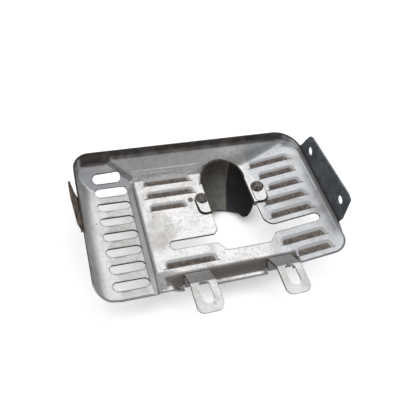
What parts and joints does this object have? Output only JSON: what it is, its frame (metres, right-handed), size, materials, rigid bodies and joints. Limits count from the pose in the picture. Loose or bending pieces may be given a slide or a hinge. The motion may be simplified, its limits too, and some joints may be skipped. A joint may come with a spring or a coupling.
{
  "type": "exhaust heat shield",
  "caption": "Pressed steel muffler guard pan with louvers, slotted side strip, central exhaust window, half-round deflector, slotted front brackets and an upright mounting plate.",
  "frame": {"origin": "middle of the left front bracket's slot, on the upper face of the bracket's flat leg", "axes": "+X along the length towards the upright mounting plate, +Y towards the high rear wall, +Z out of the hollow side, square to the flat floor"},
  "size_m": [0.1671, 0.124, 0.046],
  "materials": {
    "pan": "bare pressed steel, heat stained, brown at the cut edges",
    "deflector": "sooty dark steel",
    "rivet": "dark, dirty",
    "bracket": "bare steel",
    "plate": "dark blue-grey steel"
  },
  "bodies": {
    "root": {"pan": "pan", "deflector": "deflector", "rivet_left": "rivet", "rivet_right": "rivet", "bracket_left": "bracket", "bracket_right": "bracket", "plate_right": "plate", "tab_left": "plate"}
  },
  "joints": []
}
